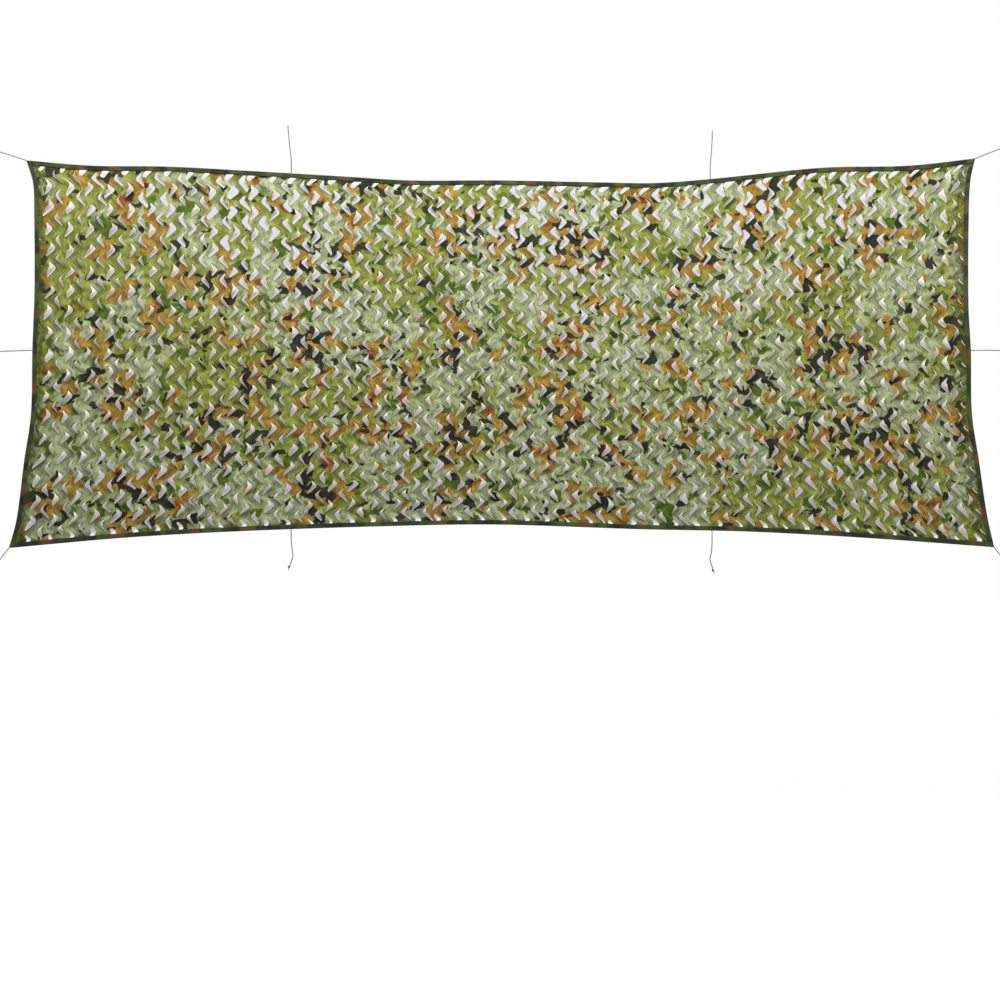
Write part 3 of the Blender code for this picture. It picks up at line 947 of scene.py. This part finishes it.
leaves = {
    "pitch": 0.088,  # from leaf to leaf along a row
    "rowStep": 0.04075,
    "outerRow": 19,  # rows are counted both ways from the middle one
    "columns": (-25, 26),
    "panels": 4,
    "rays": 16,
    "gapHalfHeight": 0.0285,
    "gapFullness": 0.70,  # a power: the lower, the blunter the gap's ends
    "outerGap": 0.0010,
    "narrowGap": 0.0010,
    "wideGap": 0.0300,
    "leastOpen": 0.065,
    "underTape": (0.50, 0.30),  # the rows half hidden by the top and bottom tapes stand more open
    "caughtPast": 44,  # past this half column a cut is caught in the side seam and stays small
    "caughtHeight": 0.35,  # of its full height
    "zigzag": 0.019,  # how far the rows are pulled sideways, to and fro
    "elbowRise": 0.0063,
    "elbowPoint": 0.94,
    "flap": 0.0192,  # the cloth beyond the curl
    "shorterOpen": 0.30,  # how much shorter it is on a wide gap
    "curl": 0.0080,
    "curlAngle": 2.40,
    "flapAngle": 1.12,  # the flap's own angle, as a share of the curl's
    "outerCurlAngle": 1.05,
    "roomOnRay": 0.62,  # the share of a ray that the curl and flap may take up
    "sideFall": 0.6,  # a power: the lower, the further round the cut the curl goes
    "curlStarts": 0.030,  # how far from the sheet's edge, and over what length they grow
    "curlRamp": 0.022,
    "strandLift": 0.0060,
    "strandPoint": 0.96,
    "liftStarts": 0.004,
    "liftRamp": 0.03,
    # how much painted shade lines each cut's far side
    "outlineShade": 0.55,
    "outlineFade": (1.0, 0.9, 0.75, 0.5, 0.12, 0.0),  # over the six points of a ray
    "bunchedShadeReach": 0.034,  # how far the painted shade of gathered cloth reaches from the side tapes
    "seamShade": 0.8,  # painted shade beside the long tapes, in patches
    "seamReach": 0.009,
    # painted shadow along pulled crease lines at both ends: share along and down at the start
    # and at the end, width, darkness
    "creaseShadows": (
        (0.006, 0.495, 0.030, 0.530, 0.0055, 1.0),
        (0.006, 0.510, 0.020, 0.560, 0.0050, 0.8),
        (0.006, 0.475, 0.022, 0.440, 0.0050, 0.6),
        (0.008, 0.030, 0.030, 0.110, 0.0060, 0.7),
        (0.008, 0.970, 0.034, 0.900, 0.0060, 0.8),
    ),
    "creaseFade": 0.5,
    "seed": 11,
    # how far one step of chance changes a leaf
    "chanceOpen": (0.50, 0.05),  # as a share of how far it stands open, and as an amount
    "chanceHeight": 0.09,
    "chanceAlong": 0.0022,
    "chanceDown": 0.0018,
    "chanceAskew": 0.07,
    "chanceFlap": 0.20,
    "chanceCurl": 0.06,
    # where the cuts stand open: share along, share down, reach along, reach down, how much
    "openPlaces": (
        (0.235, 0.13, 0.30, 0.270, 0.48),
        (0.775, 0.13, 0.30, 0.270, 0.48),
        (0.095, 0.07, 0.26, 0.210, 0.26),
        (0.905, 0.07, 0.26, 0.210, 0.26),
        (0.515, 0.10, 0.28, 0.270, 0.26),
        (0.430, 0.06, 0.36, 0.150, 0.22),
        (0.640, 0.08, 0.32, 0.150, 0.18),
        (0.560, 0.24, 0.18, 0.300, 0.28),
        (0.320, 0.42, 0.18, 0.330, 0.28),
        (0.610, 0.46, 0.20, 0.330, 0.16),
        (0.130, 0.85, 0.28, 0.225, 0.16),
        (0.870, 0.85, 0.28, 0.225, 0.12),
        (0.400, 0.88, 0.24, 0.240, 0.06),
        (0.700, 0.88, 0.24, 0.240, 0.06),
        (0.500, 0.04, 2.48, 0.195, 0.06),
        (0.500, 0.96, 2.48, 0.300, 0.08),
    ),
    # slanting waves: radians per metre along and down, start, height in metres
    "ripples": (
        (31.0, 17.0, 0.4, 0.0010),
        (-23.0, 41.0, 1.9, 0.0011),
        (57.0, -29.0, 3.1, 0.0009),
        (11.0, 9.0, 5.0, 0.0014),
        (83.0, 97.0, 2.2, 0.0010),
        (-61.0, 118.0, 0.9, 0.0009),
    ),
    # and the same for how far the slack cloth has crept
    "driftAlong": (
        (27.0, 38.0, 1.0, 0.0030),
        (-61.0, 33.0, 0.0, 0.0022),
        (13.0, -19.0, 2.0, 0.0040),
    ),
    "driftDown": (
        (35.0, -21.0, 4.0, 0.0026),
        (53.0, 47.0, 0.0, 0.0018),
        (-17.0, 11.0, 0.5, 0.0030),
    ),
}


def pointedWave(height, point, wave):
    # a sine or cosine drawn out towards a zigzag, which the arc sine of it gives
    return height * np.arcsin(point * wave) / math.asin(point)


def slantingWaves(name, along, down):
    # small unevenness of the slack cloth: a sum of slanting sine waves of unlike lengths
    total = np.zeros_like(along)
    for perAlong, perDown, start, height in leaves[name]:
        total += height * np.sin(perAlong * along + perDown * down + start)
    return total


def zigzagPull(down):
    # the sideways pull of a row: one swing every two rows
    turn = (down - cloth["height"] / 2 + leaves["elbowRise"]) * np.pi / leaves["rowStep"]
    return pointedWave(leaves["zigzag"], leaves["elbowPoint"], np.cos(turn))


def curlProfile(angle, curl, flap):
    # a strip seen end on: flat up to the curl, bent evenly over the curl's length, then straight.
    # Returns how far each of its four points lies towards the gap and towards the viewer, and
    # how far along the strip it is.
    arc = np.stack((curl + flap, curl, curl / 2, np.zeros_like(curl)), axis=-1)
    bent = np.minimum(arc, curl[..., None])
    turned = angle[..., None] * bent / curl[..., None]
    half = turned / 2
    forward = bent * np.sinc(turned / np.pi)
    lift = bent * half * np.sinc(half / np.pi) ** 2
    forward[..., 0] += flap * np.cos(angle * leaves["flapAngle"])
    lift[..., 0] += flap * np.sin(angle * leaves["flapAngle"])
    return forward, lift, arc


def leafCells(firstColumn, lastColumn):
    # the leaves in a band of columns: their half columns, their rows, the way each one's elbow
    # points, and nine chances for each, picked by its column and row, so panels agree at seams
    rows = np.arange(-leaves["outerRow"], leaves["outerRow"] + 1)
    column, row = np.meshgrid(np.arange(firstColumn, lastColumn), rows, indexing="ij")
    column, row = column.reshape(-1, 1), row.reshape(-1, 1)
    halfColumn = 2 * column + row % 2
    chances = np.random.default_rng(leaves["seed"]).normal(size=(120, 60, 9)).clip(-2, 2)
    chance = np.moveaxis(chances[(halfColumn + 60) % 120, row + 30], -1, 0)
    return halfColumn, row, np.where(row % 2, -1, 1), chance


def rayDirections():
    turn = 2 * np.pi * np.arange(leaves["rays"]) / leaves["rays"]
    return np.cos(turn), np.sin(turn)


def cutOutlines(along, down, halfColumn, row, chance):
    # Each cut is a crescent with a point for each ray: its height is a sine, and its width a power
    # of a cosine, wider on the tongue's side. Returns how far open it stands as well.
    share, amount = leaves["chanceOpen"]
    opened = leaves["leastOpen"] + roundBumps(leaves["openPlaces"], along, down)
    opened = opened * (1 + share * chance[0]) + amount * chance[1]
    hidden = np.abs(row) == leaves["outerRow"] - 1
    opened = (opened + hidden * np.where(row < 0, *leaves["underTape"])).clip(0, 1)
    narrow, wide = leaves["narrowGap"], leaves["wideGap"]
    caught = np.abs(halfColumn) > leaves["caughtPast"]
    innerGap = np.where(caught, narrow, narrow + (wide - narrow) * opened)
    halfHeight = leaves["gapHalfHeight"] * (1 + leaves["chanceHeight"] * chance[2])
    halfHeight = np.where(caught, leaves["caughtHeight"] * halfHeight, halfHeight)
    side, upward = rayDirections()
    width = np.where(side > 0, leaves["outerGap"], innerGap)
    fullness = np.sign(side) * np.abs(side) ** leaves["gapFullness"]
    cut = np.stack((width * fullness, -halfHeight * upward), axis=-1)
    # a cut lies a little off its place and askew
    askew = leaves["chanceAskew"] * chance[6]
    cut[..., 0] += leaves["chanceAlong"] * chance[3] + askew * cut[..., 1]
    cut[..., 1] += leaves["chanceDown"] * chance[7]
    return opened, cut


def curledRays(reach, opened, beside, chance):
    # Six points on each ray: four on the curled edge, one halfway on, and the rim. Returns their
    # distances from the cut, their heights, where on the ray their print lies, and how far along
    # the cloth they are from the cut edge.
    side = rayDirections()[0]
    inward, outward = (np.maximum(way, 0.0) ** leaves["sideFall"] for way in (-side, side))
    flap = leaves["flap"] * (1 - leaves["shorterOpen"] * opened + leaves["chanceFlap"] * chance[4])
    flap = flap * (0.30 + 0.70 * inward)
    curl = leaves["curl"] * (0.85 + 0.15 * inward) * np.ones_like(flap)
    room = np.minimum(1.0, leaves["roomOnRay"] * reach / (flap + curl))
    flap, curl = flap * room, curl * room
    lean = leaves["curlAngle"] * (1 + leaves["chanceCurl"] * chance[5])
    angle = (lean * inward - leaves["outerCurlAngle"] * outward) * beside
    forward, lift, arc = curlProfile(angle, curl, flap)
    nose = forward.max(axis=-1, keepdims=True)
    rim = reach[..., None]
    onward = np.concatenate((nose + 0.52 * (rim - nose), rim), axis=-1)
    away = np.concatenate((nose - forward, onward), axis=-1)
    lift = np.concatenate((lift, np.zeros_like(onward)), axis=-1)
    onPrint = np.concatenate((nose - arc, onward), axis=-1)
    fromCut = np.concatenate((arc[..., :1] - arc, arc[..., :1] + onward - nose), axis=-1)
    return away, lift, onPrint, fromCut


def leafSheetArrays(firstColumn, lastColumn):
    # Each leaf is a diamond of cloth round its cut. Sixteen rays run from the cut to the diamond's
    # rim, with six points on each; the tongue's side curls over and the far side dips.
    pitch, rowStep, rays = leaves["pitch"], leaves["rowStep"], leaves["rays"]
    halfColumn, row, facing, chance = leafCells(firstColumn, lastColumn)
    count = len(row)
    along0 = cloth["length"] / 2 + halfColumn * pitch / 2
    down0 = cloth["height"] / 2 + row * rowStep
    opened, cut = cutOutlines(along0, down0, halfColumn, row, chance)

    # the rim goes right, up, left and down in whole steps, a quarter of the rays to a side
    quarter = rays // 4
    rimAlong = np.abs(np.arange(rays) - 2 * quarter) - quarter
    rimDown = np.roll(rimAlong, -quarter)
    rim = np.stack((rimAlong * pitch / 2 / quarter, rimDown * rowStep / quarter), axis=-1)
    ray = rim - cut
    reach = np.linalg.norm(ray, axis=-1)
    way = ray / reach[..., None]
    beside = smoothRamp((edgeDistance(along0, down0) - leaves["curlStarts"]) / leaves["curlRamp"])
    away, lift, onPrint, fromCut = curledRays(reach, opened, beside, chance)

    def onSheet(distance):
        # points along the rays, mirrored where the elbow points left, on the flat sheet
        spot = cut[:, :, None, :] + way[:, :, None, :] * distance[..., None]
        return along0[..., None] + facing[..., None] * spot[..., 0], down0[..., None] + spot[..., 1]

    along, down = onSheet(away)
    printAlong, printDown = onSheet(onPrint)
    slant = np.sin(2 * np.pi * (along - cloth["length"] / 2) / pitch)
    strand = pointedWave(leaves["strandLift"], leaves["strandPoint"], slant)
    inside = edgeDistance(along, down) - cloth["tapeDepth"] - leaves["liftStarts"]
    fade = smoothRamp(inside / leaves["liftRamp"])
    lift = lift + (slantingWaves("ripples", along, down) - strand) * fade

    # painted shade outlines the cut's dipping far side, fading over the first points of each ray
    outward = np.maximum(rayDirections()[0], 0.0) ** leaves["sideFall"]
    outline = outward[None, :, None] * np.array(leaves["outlineFade"]) * np.ones_like(along)

    movedAlong = along + zigzagPull(down) + slantingWaves("driftAlong", along, down)
    movedDown = down + slantingWaves("driftDown", along, down)
    places = np.stack((movedAlong, movedDown, lift), axis=-1)
    prints = np.stack((printAlong + zigzagPull(printDown), printDown), axis=-1)

    # the rim points are shared with the neighbours, found by their whole-number places
    keyAlong = halfColumn * quarter + facing * rimAlong
    keyDown = row * quarter + rimDown
    keys = np.stack((keyAlong, keyDown), axis=-1).reshape(-1, 2)
    _, first, shared = np.unique(keys, axis=0, return_index=True, return_inverse=True)
    inner = np.arange(count * rays * 5).reshape(count, rays, 5)
    index = np.concatenate((inner, inner.size + shared.reshape(count, rays, 1)), axis=-1)

    def gather(values):
        size = values.shape[3:]
        own = values[:, :, :5].reshape((-1, *size))
        return np.concatenate((own, values[:, :, 5].reshape((-1, *size))[first]))

    here, nextRay = index, np.roll(index, -1, axis=1)
    quads = np.stack((here[..., :-1], here[..., 1:], nextRay[..., 1:], nextRay[..., :-1]), axis=-1)
    quads = np.where(facing[..., None, None] > 0, quads, quads[..., ::-1])
    return gather(places), quads.reshape(-1, 4), gather(prints), gather(fromCut), gather(outline)


def foldShade(along, down):
    # how much painted shade lies in the cloth: most beside the side tapes, in upright streaks where
    # gathered cloth would shade it, and as painted shadow along the pulled crease lines
    across = np.minimum(along, cloth["length"] - along) - cloth["tapeDepth"]
    streak = 0.5 + 0.5 * np.sin(310 * along + 2.2 * np.sin(9 * down) + 3 * np.sin(31 * down + 1))
    total = np.exp(-((across / leaves["bunchedShadeReach"]) ** 2)) * (0.45 + 0.55 * streak)
    below = np.minimum(down, cloth["height"] - down) - cloth["tapeDepth"]
    patch = 0.5 + 0.5 * np.sin(13 * along + 2 * np.sin(37 * along))
    total += leaves["seamShade"] * np.exp(-((below / leaves["seamReach"]) ** 2)) * patch
    total += pulledFolds(leaves["creaseShadows"], leaves["creaseFade"], along, down)
    return total.clip(0, 1)


def trimmedToSheet(places, faces, prints, fromCut, outline):
    # cuts the tiled leaves off square, a little inside the flat cloth's edge
    mesh = bpy.data.meshes.new("tiledLeaves")
    mesh.from_pydata(places, [], faces)
    printed = mesh.attributes.new("printPlace", "FLOAT_VECTOR", "POINT")
    packed = np.column_stack((prints, fromCut)).astype(np.float32)
    printed.data.foreach_set("vector", packed.ravel())
    shaded = mesh.attributes.new("foldShade", "FLOAT", "POINT")
    shaded.data.foreach_set("value", outline.astype(np.float32))
    low = cloth["rimInset"]
    right, bottom = cloth["length"] - low, cloth["height"] - low
    bm = bmesh.new()
    bm.from_mesh(mesh)
    for place, outward in (
        ((low, 0, 0), (-1, 0, 0)),
        ((right, 0, 0), (1, 0, 0)),
        ((0, low, 0), (0, -1, 0)),
        ((0, bottom, 0), (0, 1, 0)),
    ):
        everything = bm.verts[:] + bm.edges[:] + bm.faces[:]
        bmesh.ops.bisect_plane(
            bm, geom=everything, dist=1e-7, plane_co=place, plane_no=outward, clear_outer=True
        )
    bm.to_mesh(mesh)
    bm.free()
    return mesh


def pointValues(collection, field, width):
    # one row of values for each point
    values = np.empty(len(collection) * width, dtype=np.float32)
    collection.foreach_get(field, values)
    return values.reshape(-1, width)


def makeSheetPanel(name, firstColumn, lastColumn, materials):
    mesh = trimmedToSheet(*leafSheetArrays(firstColumn, lastColumn))
    mesh.name = name
    along, down, lift = pointValues(mesh.vertices, "co", 3).astype(float).T
    packed = pointValues(mesh.attributes["printPlace"].data, "vector", 3)
    mesh.vertices.foreach_set("co", hangUp(along, down, lift).astype(np.float32).ravel())
    setFlatPlaces(mesh, packed[:, :2])
    rimLayer = mesh.attributes.new("fromCut", "FLOAT", "POINT")
    rimLayer.data.foreach_set("value", packed[:, 2].copy())
    # painted shade: the cut outlines plus the folds, tape sides and crease lines
    shadeLayer = mesh.attributes["foldShade"]
    shade = leaves["outlineShade"] * pointValues(shadeLayer.data, "value", 1)[:, 0]
    shade = (shade + foldShade(along, down)).clip(0, 1)
    shadeLayer.data.foreach_set("value", shade.astype(np.float32))
    mesh.attributes.remove(mesh.attributes["printPlace"])
    mesh.update()
    markRims(mesh)
    panel = newObject(name, mesh, materials)
    addThickness(panel, cloth["thickness"], backSlot=1, rimSlot=2)
    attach(panel, "root")
    return panel


# cloth materials

camouflage = {
    "leafGreen": rgb(147, 156, 74),
    "deepGreen": rgb(84, 106, 28),
    "sage": rgb(175, 184, 146),
    "ochre": rgb(173, 138, 60),
    "rust": rgb(156, 86, 30),
    "black": rgb(30, 29, 27),
    "mottle": (0.56, 0.64, 0.36, 1.0),  # how much of each part of a colour a darker mottle leaves
    "threads": (0.66, 0.68, 0.56, 1.0),  # and how much the thinner threads leave
    "dirt": rgb(96, 92, 60),
    # painted shade: the dark olive that shaded folds and hollows are mixed towards
    "paintedFoldShade": rgb(58, 64, 22),
    "paleBack": rgb(247, 241, 234),
    "bleached": (2.2, 2.1, 2.6, 1.0),  # how much paler the print is where it shows through
    "showsThrough": 0.36,
    "frayed": rgb(224, 220, 204),
    "blotchScale": 9.5,
    "clusterScale": 3.6,
    "palerScale": 1.9,
    # each printed spot's noise: its shift, its stretch, its scale over the blotches', detail and
    # roughness, and then the level where the spot begins and how soft its edge is
    "spots": {
        "sage": ((11.0, 2.0), (1.0, 1.0), 0.7, 2.0, 0.55, 0.485, 0.055),
        "deepGreen": ((5.0, 23.0), (1.0, 1.0), 1.5, 2.0, 0.55, 0.60, 0.020),
        "ochre": ((17.0, 9.0), (1.0, 1.15), 1.0, 1.0, 0.5, 0.58, 0.008),
        "rust": ((29.0, 4.0), (1.0, 1.0), 2.4, 1.0, 0.5, 0.64, 0.06),
        "black": ((41.0, 31.0), (0.9, 1.1), 2.1, 1.5, 0.5, 0.625, 0.009),
    },
    "threadsPerMetre": 1500.0,
    "crumpleHeight": 0.0030,
    "creaseHeight": 0.0050,
    "threadHeight": 0.00006,
}


def camouflageColour(nodes, place):
    # printed blotches: each is where its own soft noise, raised in the clusters, passes a level
    scale = camouflage["blotchScale"]
    wobble = nodes.noise(nodes.moved(place, (3.1, 7.7)), scale * 2.6, give=1)
    nudge = nodes.add("ShaderNodeVectorMath", {"operation": "SCALE"}, {0: wobble, "Scale": 0.03})
    wavering = nodes.add("ShaderNodeVectorMath", {"operation": "ADD"}, {0: place, 1: nudge})
    cluster, paler = (
        nodes.noise(nodes.moved(place, shift), camouflage[name], 1.0, 0.4) - 0.5
        for shift, name in (((2.0, 6.0), "clusterScale"), ((8.0, 1.0), "palerScale"))
    )

    def spots(name, raised=None):
        start, stretch, times, detail, roughness, level, softness = camouflage["spots"][name]
        spot = nodes.noise(nodes.moved(wavering, start, stretch), scale * times, detail, roughness)
        return (spot + raised if raised else spot).above(level, softness)

    colour = nodes.mix(spots("sage", paler * 0.85), camouflage["leafGreen"], camouflage["sage"])
    colour = nodes.mix(spots("deepGreen"), colour, camouflage["deepGreen"])
    ochre = nodes.mix(spots("rust"), camouflage["ochre"], camouflage["rust"])
    colour = nodes.mix(spots("ochre", cluster * 0.55), colour, ochre)
    mottle = nodes.noise(nodes.moved(place, (13.0, 19.0), (1.0, 0.8)), scale * 5.5)
    colour = nodes.mix(0.80 * mottle.above(0.54, 0.14), colour, camouflage["mottle"], "MULTIPLY")
    colour = nodes.mix(spots("black", cluster * 0.45), colour, camouflage["black"])
    # uneven threads: fine darker streaks along and across the cloth
    warp = nodes.noise(nodes.moved(place, (1.0, 4.0), (22.0, 1.0)), 45.0, 2.0, 0.6)
    weft = nodes.noise(nodes.moved(place, (6.0, 2.0), (1.0, 22.0)), 45.0, 2.0, 0.6)
    thin = ((warp + weft - 0.80) * 0.8).clamped()
    return nodes.mix(thin, colour, camouflage["threads"], "MULTIPLY")


def finishCloth(nodes, place, colour, roughness, uneven, strength):
    # crumpled cloth in a plain weave, which is two crossing sets of round threads
    crumple = nodes.noise(nodes.moved(place, scale=(1.0, 0.55), turn=0.6), 42.0, 3.0, 0.6)
    crease = nodes.noise(nodes.moved(place, (5.0, 0.0), (1.0, 0.4), -0.5), 30.0)
    threads = camouflage["threadsPerMetre"] / 20
    weave = nodes.bands(place, "X", threads) + nodes.bands(place, "Y", threads)
    height = crumple * camouflage["crumpleHeight"] + crease * camouflage["creaseHeight"]
    height = height + weave * camouflage["threadHeight"]
    inputs = {
        "Base Color": colour,
        "Roughness": roughness + uneven * nodes.noise(place, 90.0),
        "Specular IOR Level": 0.20,
        "Sheen Weight": 0.04,
        "Normal": nodes.bump(height, strength),
    }
    finishMaterial(nodes, inputs)


def makeClothMaterials():
    face, nodes = newMaterial("printedCloth")
    place = flatPlace(nodes)
    colour = camouflageColour(nodes, place)
    dirt = nodes.noise(place, 14.0, 3.0, 0.6)
    colour = nodes.mix(0.35 * dirt.above(0.62, 0.3), colour, camouflage["dirt"])
    fromCut = nodes.add("ShaderNodeAttribute", {"attribute_name": "fromCut"}, give=2)
    shade = nodes.add("ShaderNodeAttribute", {"attribute_name": "foldShade"}, give=2)
    streaks = nodes.noise(nodes.moved(place, scale=(1.0, 0.3)), 70.0)
    # painted shade in the folds, and a little in the hollow behind each curled leaf
    hollowShade = fromCut.above(0.0170, 0.0040) * (1 - fromCut.above(0.0290, 0.0060))
    shade = (shade * (0.5 + streaks) + hollowShade * (streaks - 0.22)).clamped()
    colour = nodes.mix(0.85 * shade, colour, camouflage["paintedFoldShade"])
    fray = nodes.noise(place, 420.0, 2.0, 0.6)
    frayed = 1 - fromCut.above(0.0016 * (fray + 0.5), 0.0012)
    colour = nodes.mix(frayed * 0.75, colour, camouflage["frayed"])
    finishCloth(nodes, place, colour, 0.62, 0.16, 0.90)

    back, nodes = newMaterial("clothBack")
    place = flatPlace(nodes)
    through = nodes.mix(1.0, camouflageColour(nodes, place), camouflage["bleached"], "MULTIPLY")
    stain = nodes.mix(camouflage["showsThrough"], (1.0, 1.0, 1.0, 1.0), through)
    colour = nodes.mix(1.0, stain, camouflage["paleBack"], "MULTIPLY")
    finishCloth(nodes, place, colour, 0.66, 0.14, 0.45)

    rim, nodes = newMaterial("cutEdge")
    colour = nodes.mix(0.8, camouflageColour(nodes, flatPlace(nodes)), camouflage["frayed"])
    finishMaterial(nodes, {"Base Color": colour, "Roughness": 0.85})
    return [face, back, rim]


def makeSheet(binding):
    materials = makeClothMaterials()
    bounds = np.linspace(*leaves["columns"], leaves["panels"] + 1).round().astype(int).tolist()
    for number, (first, last) in enumerate(zip(bounds, bounds[1:])):
        panel = makeSheetPanel(f"leafSheet{number + 1}", first, last, materials)
        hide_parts("net_sheet")


makePaper()
makeTies()
makeSheet(makeBinding())
